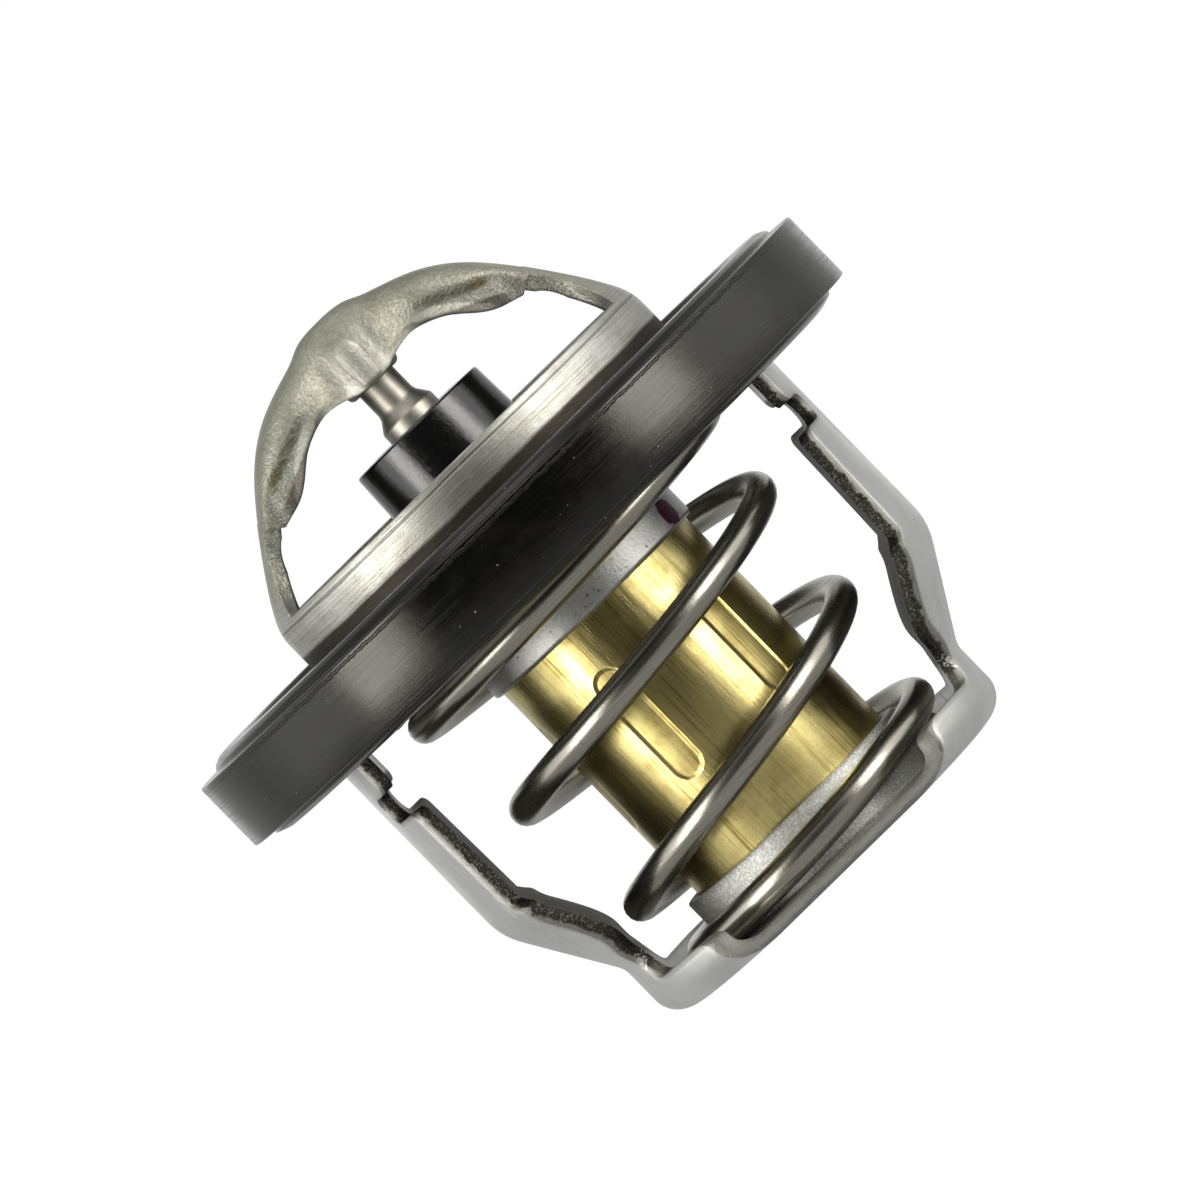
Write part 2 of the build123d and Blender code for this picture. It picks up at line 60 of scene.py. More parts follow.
class Signal:                                        # one output socket that can be calculated with
    def __init__(self, finish, socket):
        self.finish = finish
        self.socket = socket

    def calc(self, how, other=0.0, swapped=False):
        pair = {0: other, 1: self} if swapped else {0: self, 1: other}
        return self.finish.node("Math", {"operation": how}, pair)

    def __add__(self, other):
        return self.calc("ADD", other)

    def __radd__(self, other):
        return self.calc("ADD", other, True)

    def __sub__(self, other):
        return self.calc("SUBTRACT", other)

    def __rsub__(self, other):
        return self.calc("SUBTRACT", other, True)

    def __mul__(self, other):
        return self.calc("MULTIPLY", other)

    def __rmul__(self, other):
        return self.calc("MULTIPLY", other, True)

    def __truediv__(self, other):
        return self.calc("DIVIDE", other)

    def __pow__(self, other):
        return self.calc("POWER", other)

    def __gt__(self, other):
        return self.calc("GREATER_THAN", other)

    def __lt__(self, other):
        return self.calc("LESS_THAN", other)

    def size(self):
        return self.calc("ABSOLUTE")

    def clamp(self):
        return self.finish.node("Clamp", {}, {"Value": self})


class Finish:                                        # one material or world while its nodes are being laid
    def __init__(self, name, world=False):
        self.block = bpy.data.worlds.new(name) if world else bpy.data.materials.new(name)
        self.block.use_nodes = True
        self.tree = self.block.node_tree
        self.tree.nodes.clear()
        self.output = self.tree.nodes.new("ShaderNodeOutputWorld" if world else "ShaderNodeOutputMaterial")

    def node(self, kind, settings=None, sockets=None, out=0):
        made = self.tree.nodes.new("ShaderNode" + kind)
        for key, value in (settings or {}).items():
            setattr(made, key, value)
        for key, value in (sockets or {}).items():
            if isinstance(value, Signal):
                self.tree.links.new(value.socket, made.inputs[key])
            else:
                made.inputs[key].default_value = value
        return Signal(self, made.outputs[out])

    def place(self):                                 # object coordinates in millimetres
        return self.stretch(self.node("TexCoord", out="Object"), (1 / mm, 1 / mm, 1 / mm))

    def stretch(self, where, scale):
        return self.node("Mapping", {}, {"Vector": where, "Scale": scale})

    def axes(self, where):                           # the three numbers of a place or direction
        split = self.node("SeparateXYZ", {}, {0: where}).socket.node
        return [Signal(self, output) for output in split.outputs]

    def unroll(self, scaleAround, scaleUp):          # a place unrolled round the valve axis, for streaks
        x, y, z = self.axes(self.place())
        turn = x.calc("ARCTAN2", y) * scaleAround
        return self.node("CombineXYZ", {}, {0: turn, 1: z * scaleUp, 2: 0.0})

    def noise(self, where, scale, detail=3.0, roughness=0.5):
        sockets = {"Vector": where, "Scale": scale, "Detail": detail, "Roughness": roughness}
        return self.node("TexNoise", {}, sockets)

    def band(self, value, low, high, bottom=0.0, top=1.0):
        return self.node("MapRange", {"interpolation_type": "SMOOTHSTEP"}, {
            "Value": value, "From Min": low, "From Max": high, "To Min": bottom, "To Max": top})

    def mix(self, share, first, second):
        return self.node("Mix", {"data_type": "RGBA"}, {0: share, 6: first, 7: second}, out=2)

    def bump(self, height, depth, below=None):       # depth in millimetres, laid over the relief below
        sockets = {"Height": height, "Distance": depth * mm, "Strength": 1.0}
        if below:
            sockets["Normal"] = below
        return self.node("Bump", {}, sockets)

    def softEdges(self, radius):
        return self.node("Bevel", {"samples": 4}, {"Radius": radius * mm})

    def surface(self, **sockets):
        shader = self.node("BsdfPrincipled", {}, sockets)
        return self.finishWith(shader)

    def finishWith(self, shader):
        self.tree.links.new(shader.socket, self.output.inputs["Surface"])
        return self.block


# Steels

sheetSteel = {
    "collar": (0.55, 0.545, 0.505, 1), "collarDull": (0.30, 0.29, 0.245, 1),
    "bridge": (0.43, 0.425, 0.36, 1), "bridgeDull": (0.28, 0.275, 0.215, 1),
    # neck is painted as the gasket's dark reflection, boss as a highlight on the socket
    "neck": (0.055, 0.05, 0.042, 1), "glint": (0.25, 0.22, 0.075, 1), "boss": (0.66, 0.65, 0.60, 1),
    # torn also colours the painted shade under the bridge and along its lower edge
    "torn": (0.11, 0.10, 0.085, 1),
    "rough": 0.33, "sheet": 1.2, "edge": 0.30,
    "rim": 40.9, "neckTop": 38.15,                   # height of the collar's rim and of its dark neck, a painted reflection of the dark gasket
    "domeMiddle": 36.46, "domeRadius": 18.54,        # the ball that comes nearest to the drawn dome
    "fold": (5.0, 51.0, 0.387),                      # start aside, height there and fall of the pressed fold
    "foldEnd": (12.2, 10.4), "foldDepth": 0.42,
    "brim": (5.1, 49.55, 0.48),                      # the same three for the lower edge of the bridge, darkened for its torn edge and as painted shade
    "brimEnd": (12.6, 11.8),
    "bossHalf": 2.15, "bossFade": (54.0, 51.6), "bossDepth": 0.20,
    "glintAside": 10.2, "cutStart": (11.0, 12.0),
    "pebbleDepth": 0.050, "peelDepth": 0.022, "grainDepth": 0.016, "tornDepth": 0.05,
    "streakDepth": 0.020, "waveDepth": 0.060, "pullDepth": 0.018, "creaseDepth": 0.035,
}


def makeFrameSteel(name="frameSteel"):
    s = sheetSteel
    f = Finish(name)
    spot = f.place()
    x, y, z = f.axes(spot)
    faceY, faceZ = f.axes(f.node("NewGeometry", out="True Normal"))[1:]
    aside = x.size()
    wander = f.noise(f.unroll(1.6, 0.0), 1.0, 3.0) - 0.5
    collar = f.band(z, s["rim"] + 2.4, s["rim"] - 0.1)
    upper = 1.0 - collar
    # painted reflection: the collar's neck is darkened where its fillet mirrors the dark gasket
    neck = f.band(z + 0.5 * wander, s["neckTop"] + 0.22, s["neckTop"] - 0.22)
    patches = f.band(f.noise(spot, 0.35, 5.0, 0.6), 0.38, 0.66)
    pebbles = f.noise(spot, 2.3, 2.0, 0.5)
    grain = f.noise(spot, 6.5, 3.0, 0.6)
    peel = f.band(f.noise(spot, 3.4, 3.0, 0.6), 0.40, 0.62)
    streaks = f.noise(f.unroll(1.3, 8.0), 1.0, 4.0, 0.65)
    waves = f.noise(f.unroll(5.0, 0.6), 1.0, 3.0, 0.6)
    scores = f.band(f.noise(f.unroll(0.9, 5.0), 1.3, 4.0, 0.7), 0.62, 0.66) * collar
    dip = (z - (s["rim"] - 0.55) + 0.3 * wander).size()
    crease = f.band(dip, 0.14, 0.02) * collar
    start, height, fall = s["fold"]
    above = z - height + fall * (aside - start) + 0.5 * (f.noise(spot, 0.7, 2.0) - 0.5)
    folded = f.band(aside, start - 1.2, start + 2.4) * f.band(aside, *s["foldEnd"]) * upper
    lip = f.band(above, 0.70, -0.60) * folded
    valleyShade = f.band(above.size(), 0.80, 0.0) * folded
    # faces turned downwards, which are given painted shade
    below = f.band(faceZ, -0.20, -0.65) * f.band(aside, 3.4, 5.0) * upper
    glint = f.band((aside - s["glintAside"]).size(), 1.1, 0.2) * upper
    glint = glint * f.band((above + 0.15).size(), 0.50, 0.10)
    # the socket's boss: a bump, and a painted highlight in its colour
    boss = f.band(aside + 0.3 * wander, s["bossHalf"] + 0.70, s["bossHalf"] - 0.50)
    boss = boss * f.band(z, *s["bossFade"]) * upper
    pulls = f.noise(f.stretch(spot, (5.0, 0.3, 0.25)), 1.0, 4.0, 0.65)
    fromMiddle = (x ** 2.0 + y ** 2.0 + (z - s["domeMiddle"]) ** 2.0) ** 0.5
    depth = (s["domeRadius"] - fromMiddle) / s["sheet"]
    cut = (faceY.size() > 0.8) * f.band(aside, *s["cutStart"]) * f.band(z, s["rim"] - 0.2, s["rim"] + 0.4)
    # the inner part of the legs' cut edges: dark torn grain, partly painted shade of the window side
    torn = 0.7 * cut * f.band(depth + 0.7 * (f.noise(spot, 1.3, 4.0, 0.6) - 0.5), 0.70, 0.95)
    start, height, fall = s["brim"]
    fromBrim = z - height + fall * (aside - start) + 0.35 * (f.noise(spot, 1.4, 4.0, 0.6) - 0.5)
    brim = f.band(fromBrim, 0.55, 0.20) * f.band(aside, 3.8, 5.2) * f.band(aside, *s["brimEnd"]) * upper
    colour = f.mix((0.55 * patches + 0.40 * peel).clamp(), s["bridge"], s["bridgeDull"])
    # painted highlight on the boss, streaked by pull marks
    colour = f.mix(0.8 * boss * (0.35 + pulls), colour, s["boss"])
    # painted highlight on the fold's lower lip
    colour = f.mix(0.45 * lip, colour, s["collar"])
    # painted shade in the fold's valley
    colour = f.mix(0.55 * valleyShade, colour, s["bridgeDull"])
    # painted shade on the bridge's downward faces and along its lower edge, in the torn steel's colour
    colour = f.mix((0.85 * below + 0.85 * brim).clamp(), colour, s["torn"])
    colour = f.mix(0.6 * cut, colour, s["boss"])
    colour = f.mix(0.70 * glint, colour, s["glint"])
    smudged = f.band(streaks, 0.38, 0.68) * 0.65 + 0.3 * scores + 0.35 * patches
    colour = f.mix(collar, colour, f.mix(smudged.clamp(), s["collar"], s["collarDull"]))
    # painted shade in the crease under the collar's rim
    colour = f.mix(0.5 * crease, colour, s["neck"])
    # painted reflection: the dark neck under the collar
    colour = f.mix((neck * (0.65 + streaks)).clamp(), colour, s["neck"])
    colour = f.mix(torn, colour, f.mix(f.band(grain, 0.45, 0.65), s["torn"], s["bridgeDull"]))
    rough = s["rough"] + 0.20 * upper + 0.06 * patches + 0.12 * streaks * collar + 0.14 * neck
    relief = f.bump(boss, s["bossDepth"], f.softEdges(s["edge"]))
    relief = f.bump(1.0 - lip, s["foldDepth"], relief)
    relief = f.bump(pebbles * upper, s["pebbleDepth"], relief)
    relief = f.bump(peel * (1.0 - 0.7 * boss) * upper, s["peelDepth"], relief)
    relief = f.bump(grain, s["grainDepth"], relief)
    relief = f.bump(grain * torn, s["tornDepth"], relief)
    relief = f.bump(streaks * collar, s["streakDepth"], relief)
    relief = f.bump(waves * collar, s["waveDepth"], relief)
    relief = f.bump(pulls * boss, s["pullDepth"], relief)
    relief = f.bump(1.0 - crease - 0.5 * scores, s["creaseDepth"], relief)
    return f.surface(**{"Base Color": colour, "Metallic": 1.0, "Roughness": rough, "Normal": relief})


cageSteel = {
    "colour": (0.79, 0.79, 0.76, 1), "torn": (0.045, 0.040, 0.034, 1), "sheared": (0.20, 0.19, 0.17, 1),
    "rolledEdgeShade": (0.20, 0.195, 0.175, 1), "collar": (0.45, 0.45, 0.425, 1),
    # inner is the colour of painted shade on the arms' inward faces
    "inner": (0.11, 0.105, 0.09, 1), "dish": (0.38, 0.375, 0.345, 1),
    "rough": 0.28, "sheet": 1.0, "edge": 0.9,
    "drawnRadius": 12.5, "floorTop": 1.3,            # inside these are the guide collar and the floor
    "armRadius": 21.8, "dishRadius": 17.0, "ankle": 5.4, "lean": 0.6,
    "hookLow": 27.6, "slopeTop": 15.0, "slopeLow": (4.0, 6.5), "dishTop": (5.0, 3.6),
    "rollStart": 0.995, "rollFull": 0.88,            # how square a rounded edge still faces
    "brokenDepth": 0.07, "lineDepth": 0.02, "streakDepth": 0.004, "satinDepth": 0.006,
    "scratchDepth": 0.012, "drawnDepth": 0.012,
}


def makeCageSteel(name="cageSteel", sheared=1.0):    # sheared 0 for a turned piece without cut flanks
    s = cageSteel
    f = Finish(name)
    spot = f.place()
    x, y, z = f.axes(spot)
    facing = f.node("NewGeometry", out="True Normal")
    faceX, faceY, faceZ = f.axes(facing)
    radius = (x ** 2.0 + y ** 2.0) ** 0.5
    drawn = radius < s["drawnRadius"]
    stamped = 1.0 - drawn
    flat = (z < s["floorTop"]) * (faceZ.size() > 0.5)
    flank = sheared * (faceX.size() < 0.03) * stamped * (1.0 - flat)
    skin = (s["dishRadius"] + s["lean"] * (z - s["ankle"])).calc("MINIMUM", s["armRadius"])
    depth = (skin.calc("MAXIMUM", s["dishRadius"]) - radius).calc("MINIMUM", z) / s["sheet"]
    ragged = f.noise(spot, 1.6, 4.0, 0.6) - 0.5
    grains = f.noise(spot, 6.5, 3.0, 0.6)
    lines = f.noise(f.stretch(spot, (6.0, 1.0, 1.0)), 2.2, 3.0)
    broken = f.band(depth + 0.9 * ragged, 0.20, 0.42)
    soft = f.softEdges(s["edge"])
    turned = f.node("VectorMath", {"operation": "DOT_PRODUCT"}, {0: soft, 1: facing}, out="Value")
    slope = f.band(z, s["slopeTop"] + 1.0, s["slopeTop"] - 2.0) * f.band(z, *s["slopeLow"])
    # painted shade where the sheet's edges round over, strongest on the lower slope
    rolledEdgeShade = f.band(turned + 0.10 * ragged + 0.25 * (grains - 0.5), s["rollStart"], s["rollFull"])
    rolledEdgeShade = rolledEdgeShade * (1.0 - flank) * stamped * (0.35 + 0.65 * slope)
    # painted shade on the arms' faces that look in towards the axis
    inwardShade = ((x * faceX + y * faceY) / radius < -0.4) * (1.0 - flank) * stamped
    inwardShade = inwardShade * f.band(z, s["hookLow"] + 0.4, s["hookLow"]) * f.band(z, s["ankle"] - 1.5, s["ankle"])
    streaks = f.noise(f.stretch(spot, (5.0, 5.0, 0.35)), 1.0, 3.0)
    clouds = f.band(f.noise(spot, 0.22, 5.0, 0.6), 0.36, 0.66)
    satin = f.noise(spot, 7.0, 3.0, 0.6)
    scratches = f.band(f.noise(f.stretch(spot, (2.4, 2.4, 0.25)), 1.6, 5.0, 0.7), 0.63, 0.67)
    edge = f.mix(f.band(grains, 0.50, 0.66), s["torn"], s["sheared"])
    edge = f.mix(broken, f.mix(lines, s["sheared"], s["collar"]), edge)
    edge = f.mix(0.8 * f.band(z, *s["dishTop"]), edge, s["dish"])
    colour = f.mix((0.30 * clouds + 0.20 * satin + 0.35 * scratches).clamp(), s["colour"], s["collar"])
    colour = f.mix(inwardShade, colour, s["inner"])
    colour = f.mix(0.8 * rolledEdgeShade, colour, s["rolledEdgeShade"])
    colour = f.mix(drawn, colour, f.mix(f.band(grains, 0.4, 0.7), s["collar"], s["colour"]))
    colour = f.mix(flank, colour, edge)
    rough = s["rough"] + 0.06 * streaks + 0.08 * clouds
    rough = rough + 0.14 * flank * broken + 0.22 * drawn + 0.08 * rolledEdgeShade
    relief = f.bump(grains * (flank * broken + 0.35 * rolledEdgeShade), s["brokenDepth"], soft)
    relief = f.bump(lines * flank * (1.0 - broken), s["lineDepth"], relief)
    relief = f.bump(streaks, s["streakDepth"], relief)
    relief = f.bump(satin, s["satinDepth"], relief)
    relief = f.bump(1.0 - scratches, s["scratchDepth"], relief)
    relief = f.bump(f.noise(spot, 9.0, 2.0) * drawn, s["drawnDepth"], relief)
    return f.surface(**{"Base Color": colour, "Metallic": 1.0, "Roughness": rough, "Normal": relief})


wireSteel = {
    "colour": (0.37, 0.355, 0.305, 1), "dull": (0.24, 0.225, 0.185, 1), "rough": 0.22,
    "drawDepth": 0.003, "grainDepth": 0.006, "nickDepth": 0.02,
}


def makeWireSteel(name="wireSteel"):
    s = wireSteel
    f = Finish(name)
    spot = f.place()
    draws = f.noise(f.unroll(0.8, 7.0), 1.0, 3.0, 0.6)
    nicks = f.band(f.noise(spot, 1.7, 5.0, 0.7), 0.68, 0.72)
    colour = f.mix(f.band(draws, 0.35, 0.75) * 0.7, s["colour"], s["dull"])
    relief = f.bump(draws, s["drawDepth"])
    relief = f.bump(f.noise(spot, 4.0, 3.0), s["grainDepth"], relief)
    relief = f.bump(1.0 - nicks, s["nickDepth"], relief)
    rough = s["rough"] + 0.10 * draws
    return f.surface(**{"Base Color": colour, "Metallic": 1.0, "Roughness": rough, "Normal": relief})


pistonSteel = {
    "colour": (0.50, 0.48, 0.425, 1), "dull": (0.37, 0.35, 0.30, 1), "rough": 0.40, "ringDepth": 0.006,
}


def makePistonSteel(name="pistonSteel"):
    s = pistonSteel
    f = Finish(name)
    rings = f.noise(f.stretch(f.place(), (0.1, 0.1, 7.0)), 1.0, 2.0)
    colour = f.mix(rings, s["colour"], s["dull"])
    rough = s["rough"] + 0.10 * rings
    relief = f.bump(rings, s["ringDepth"])
    return f.surface(**{"Base Color": colour, "Metallic": 1.0, "Roughness": rough, "Normal": relief})


guideSteel = {
    "colour": (0.43, 0.43, 0.405, 1), "stain": (0.20, 0.195, 0.185, 1), "speck": (0.04, 0.038, 0.035, 1),
    "metallic": 0.9, "rough": 0.36, "grainDepth": 0.035,
    "paint": (0.085, 0.012, 0.045, 1), "paintPlace": (8.6, -4.9, 27.3), "paintSize": 1.15,
}


def makeGuideSteel(name="guideSteel", painted=True):
    s = guideSteel
    f = Finish(name)
    spot = f.place()
    stains = f.band(f.noise(spot, 1.6, 6.0, 0.75), 0.60, 0.66)
    specks = f.band(f.noise(spot, 2.9, 2.0), 0.68, 0.72)
    grain = f.noise(spot, 4.5, 4.0, 0.65)
    colour = f.mix(f.band(grain, 0.42, 0.68) * 0.35 + stains * 0.6, s["colour"], s["stain"])
    colour = f.mix(specks, colour, s["speck"])
    if painted:
        away = f.node("VectorMath", {"operation": "DISTANCE"}, {0: spot, 1: s["paintPlace"]}, out="Value")
        ragged = away + 0.5 * (f.noise(spot, 2.2, 3.0) - 0.5)
        dab = f.band(ragged, s["paintSize"] + 0.1, s["paintSize"] - 0.1)
        colour = f.mix(dab, colour, s["paint"])
    relief = f.bump(grain, s["grainDepth"])
    rough = s["rough"] + 0.15 * stains
    return f.surface(**{"Base Color": colour, "Metallic": s["metallic"], "Roughness": rough,
                        "Normal": relief})


# Brass

brass = {
    "colour": (0.69, 0.585, 0.245, 1), "tarnish": (0.27, 0.20, 0.055, 1), "rough": 0.24,
    "padStart": -110.0, "padStep": 60.0,             # degrees round the capsule
    "padHalfWidth": 1.3, "padHalfLength": 5.2, "padMiddle": 17.35, "padDepth": 0.13,
    "drawDepth": 0.006, "broadDepth": 0.014, "mottleDepth": 0.012,
}


def makeBrass(name="drawnBrass"):
    s = brass
    f = Finish(name)
    spot = f.place()
    x, y, z = f.axes(spot)
    radius = reach("wax_capsule")[0]
    draws = f.noise(f.unroll(34.0, 0.07), 1.0, 4.0, 0.7)
    broad = f.noise(f.unroll(5.0, 0.04), 1.0, 3.0, 0.6)
    clouds = f.band(f.noise(spot, 0.38, 5.0, 0.6), 0.44, 0.66)
    mottle = f.noise(spot, 3.0, 4.0, 0.65)
    step = math.radians(s["padStep"])
    turn = (y.calc("ARCTAN2", x) - math.radians(s["padStart"])) / step + 0.5
    across = (turn.calc("FRACT") - 0.5) * (step * radius)
    along = (z - s["padMiddle"]).size() - (s["padHalfLength"] - s["padHalfWidth"])
    fromPad = (across ** 2.0 + along.calc("MAXIMUM", 0.0) ** 2.0) ** 0.5 - s["padHalfWidth"]
    inside = f.band(fromPad, 0.10, -0.35)
    lines = f.band(f.noise(f.unroll(62.0, 0.05), 1.0, 3.0, 0.7), 0.50, 0.66)
    drawn = f.band(draws, 0.46, 0.66) * f.band(broad, 0.36, 0.58)
    tired = 0.40 * clouds + 0.70 * drawn + 0.35 * lines
    colour = f.mix(tired.clamp(), s["colour"], s["tarnish"])
    colour = f.mix(0.5 * inside * mottle, colour, s["tarnish"])
    rough = s["rough"] + 0.07 * draws + 0.06 * clouds + 0.10 * inside
    relief = f.bump(1.0 - inside, s["padDepth"])
    relief = f.bump(draws + 0.5 * lines, s["drawDepth"], relief)
    relief = f.bump(broad, s["broadDepth"], relief)
    relief = f.bump(mottle * (0.25 + 0.75 * inside), s["mottleDepth"], relief)
    return f.surface(**{"Base Color": colour, "Metallic": 1.0, "Roughness": rough, "Normal": relief})


# Rubber and plastic

gasketRubber = {
    "colour": (0.0012, 0.0012, 0.0013, 1), "scuffed": (0.0045, 0.0043, 0.004, 1),
    "dust": (0.16, 0.16, 0.15, 1), "tint": (1.0, 0.985, 0.90, 1), "rough": 0.14, "shine": 0.52,
    "flashHeight": 36.1, "flashDepth": 0.10, "wipeDepth": 0.011, "grainDepth": 0.004,
}


def makeGasketRubber(name="gasketRubber"):
    s = gasketRubber
    f = Finish(name)
    spot = f.place()
    z = f.axes(spot)[2]
    wipes = f.noise(f.unroll(3.0, 5.0), 1.0, 5.0, 0.7)
    clouds = f.band(f.noise(spot, 0.20, 5.0, 0.6), 0.40, 0.65)
    dust = f.band(f.noise(spot, 2.6, 2.0), 0.74, 0.78)
    ragged = f.noise(f.unroll(26.0, 0.6), 1.0, 5.0, 0.75) - 0.5
    flash = f.band((z - s["flashHeight"] + 0.6 * ragged).size(), 0.15, 0.02)
    colour = f.mix(clouds * 0.8, s["colour"], s["scuffed"])
    colour = f.mix(dust, colour, s["dust"])
    rough = s["rough"] + 0.10 * f.band(wipes, 0.35, 0.65) + 0.06 * clouds
    relief = f.bump(wipes, s["wipeDepth"])
    relief = f.bump(f.noise(spot, 5.0, 3.0), s["grainDepth"], relief)
    relief = f.bump(flash, s["flashDepth"], relief)
    return f.surface(**{"Base Color": colour, "Roughness": rough, "Normal": relief,
                        "Specular IOR Level": s["shine"], "Specular Tint": s["tint"]})


capPlastic = {
    "colour": (0.0012, 0.0012, 0.0012, 1), "worn": (0.003, 0.003, 0.003, 1), "rough": 0.13, "shine": 0.8,
    "grainDepth": 0.012, "drawDepth": 0.012,
}


def makeCapPlastic(name="capPlastic"):
    s = capPlastic
    f = Finish(name)
    grain = f.noise(f.place(), 5.0, 4.0, 0.65)
    draws = f.noise(f.unroll(16.0, 0.25), 1.0, 3.0)
    colour = f.mix(grain, s["colour"], s["worn"])
    rough = s["rough"] + 0.13 * f.band(grain, 0.3, 0.7)
    relief = f.bump(grain, s["grainDepth"])
    relief = f.bump(draws, s["drawDepth"], relief)
    return f.surface(**{"Base Color": colour, "Roughness": rough, "Normal": relief,
                        "Specular IOR Level": s["shine"]})


hidden = {                                           # pieces inside the element
    "rubber": (0.03, 0.03, 0.03, 1), "rubberRough": 0.6, "ring": (0.80, 0.80, 0.76, 1), "ringRough": 0.4,
    "wax": (0.50, 0.33, 0.17, 1), "waxRough": 0.6, "grainShade": 0.8, "grainDepth": 0.02,
}


def makePlain(name, colour, rough):
    f = Finish(name)
    grain = f.noise(f.place(), 3.0, 3.0)
    shaded = tuple(c * hidden["grainShade"] for c in colour[:3]) + (1,)
    return f.surface(**{"Base Color": f.mix(grain, colour, shaded), "Roughness": rough,
                        "Normal": f.bump(grain, hidden["grainDepth"])})


finishes = {
    "upper_frame": makeFrameSteel(),
    "lower_frame": makeCageSteel(),
    "valve_disc": makeCageSteel("discSteel", 0.0),
    "main_spring": makeWireSteel(),
    "piston": makePistonSteel(),
    "element_guide": makeGuideSteel(),
    "valve_retaining_ring": makeGuideSteel("ringSteel", False),
    "wax_capsule": makeBrass(),
    "rim_gasket": makeGasketRubber(),
    "guide_cap": makeCapPlastic(),
    "piston_wiper": makePlain("wiperRubber", hidden["rubber"], hidden["rubberRough"]),
    "seal_sleeve": makePlain("sleeveRubber", hidden["rubber"], hidden["rubberRough"]),
    "backup_ring": makePlain("slidingPlastic", hidden["ring"], hidden["ringRough"]),
    "wax_charge": makePlain("wax", hidden["wax"], hidden["waxRough"]),
}
for nodeName, finish in finishes.items():
    slots = nodes[nodeName].data.materials
    slots.clear()
    slots.append(finish)
print("finishes laid:", len(finishes))


# Turned and moulded pieces, each spun from its section of radius and height

turning = {"weld": 0.004, "edgeSegments": 3, "edgeAngle": 25, "smoothAngle": 40}


def clearSelection():
    if bpy.context.mode != "OBJECT":
        bpy.ops.object.mode_set(mode="OBJECT")
    bpy.ops.object.select_all(action="DESELECT")


def spinPiece(name, section, rounding, steps):
    clearSelection()
    bpy.ops.mesh.primitive_plane_add(size=mm, location=(0, 0, 0))
    piece = bpy.context.object
    piece.name = name
    bpy.ops.object.mode_set(mode="EDIT")
    bpy.ops.mesh.select_all(action="SELECT")
    bpy.ops.mesh.merge(type="CENTER")
    bpy.ops.transform.translate(value=(section[0][0] * mm, 0, section[0][1] * mm))
    for (fromRadius, fromHeight), (toRadius, toHeight) in zip(section, section[1:] + section[:1]):
        move = ((toRadius - fromRadius) * mm, 0, (toHeight - fromHeight) * mm)
        bpy.ops.mesh.extrude_vertices_move(TRANSFORM_OT_translate={"value": move})
    bpy.ops.mesh.select_all(action="SELECT")
    bpy.ops.mesh.spin(steps=steps, angle=math.tau, center=(0, 0, 0), axis=(0, 0, 1))
    bpy.ops.mesh.select_all(action="SELECT")
    bpy.ops.mesh.remove_doubles(threshold=turning["weld"] * mm)
    bpy.ops.mesh.normals_make_consistent(inside=False)
    bpy.ops.object.mode_set(mode="OBJECT")
    edges = piece.modifiers.new("edges", "BEVEL")
    edges.width = rounding * mm
    edges.segments = turning["edgeSegments"]
    edges.limit_method = "ANGLE"
    edges.angle_limit = math.radians(turning["edgeAngle"])
    bpy.ops.object.modifier_apply(modifier="edges")
    bpy.ops.object.shade_smooth_by_angle(angle=math.radians(turning["smoothAngle"]))
    return piece


def carry(piece, body, finish):
    piece.data.materials.clear()
    piece.data.materials.append(finish)
    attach(piece, body)


gasket = {
    "lipSetback": 1.7, "lipSlope": 1.0, "lipHeight": 0.8, "lowerLip": 0.7, "lipRound": (0.25, 0.35),
    "crest": 2.4, "width": 6.4, "faceSlope": 1.4, "groove": 1.3, "grooveDepth": 2.55, "play": 0.05,
    "rounding": 0.22, "steps": 300,
}


def makeGasket():
    g = gasket
    outer, low, high = reach("rim_gasket")
    bandLow = low + g["lowerLip"]
    bandHigh = high - g["lipHeight"]
    lipFoot = outer - g["lipSetback"]
    crest = lipFoot - g["lipSlope"]
    grooveLow = reach("upper_frame")[1] - g["play"]  # the flange sits in the groove
    grooveHigh = grooveLow + g["groove"]
    grooveEnd = outer - g["grooveDepth"]
    inner = outer - g["width"]
    roundIn, roundUp = g["lipRound"]
    section = [
        (outer, bandLow), (outer, bandHigh), (lipFoot, bandHigh), (lipFoot - roundIn, high - roundUp),
        (crest, high), (crest - g["crest"], high), (inner, grooveHigh + g["faceSlope"]),
        (inner, grooveHigh), (grooveEnd, grooveHigh), (grooveEnd, grooveLow), (inner, grooveLow),
        (inner, grooveLow - g["faceSlope"]), (crest - g["crest"], low), (crest, low),
        (lipFoot, low + roundUp), (lipFoot, bandLow),
    ]
    piece = spinPiece("rimGasket", section, g["rounding"], g["steps"])
    carry(piece, "housing", finishes["rim_gasket"])
    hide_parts("rim_gasket")


cap = {
    "draft": 0.52, "roof": 1.7, "mouth": 2.6, "mouthEdge": 0.5, "bore": 4.25, "crown": 0.12,
    "rounding": 0.22, "steps": 160,
}


def makeCap():
    c = cap
    foot, low, high = reach("guide_cap")
    roof = high - c["roof"]
    section = [
        (foot, low), (foot - c["draft"], high - c["crown"]), (c["mouth"] + c["mouthEdge"], high),
        (c["mouth"], high - c["mouthEdge"]), (c["mouth"], roof), (c["bore"], roof), (c["bore"], low),
    ]
    piece = spinPiece("guideCap", section, c["rounding"], c["steps"])
    carry(piece, "valve", finishes["guide_cap"])
    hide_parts("guide_cap")


piston = {
    "core": 0.02, "tip": 1.2, "taper": 5.0, "coneLow": 45.6, "coneTop": 46.5, "coneEdge": (0.12, 0.18),
    "neck": 1.66, "neckFlare": 0.1, "band": 0.35, "end": 0.2, "rounding": 0.12, "steps": 96,
}


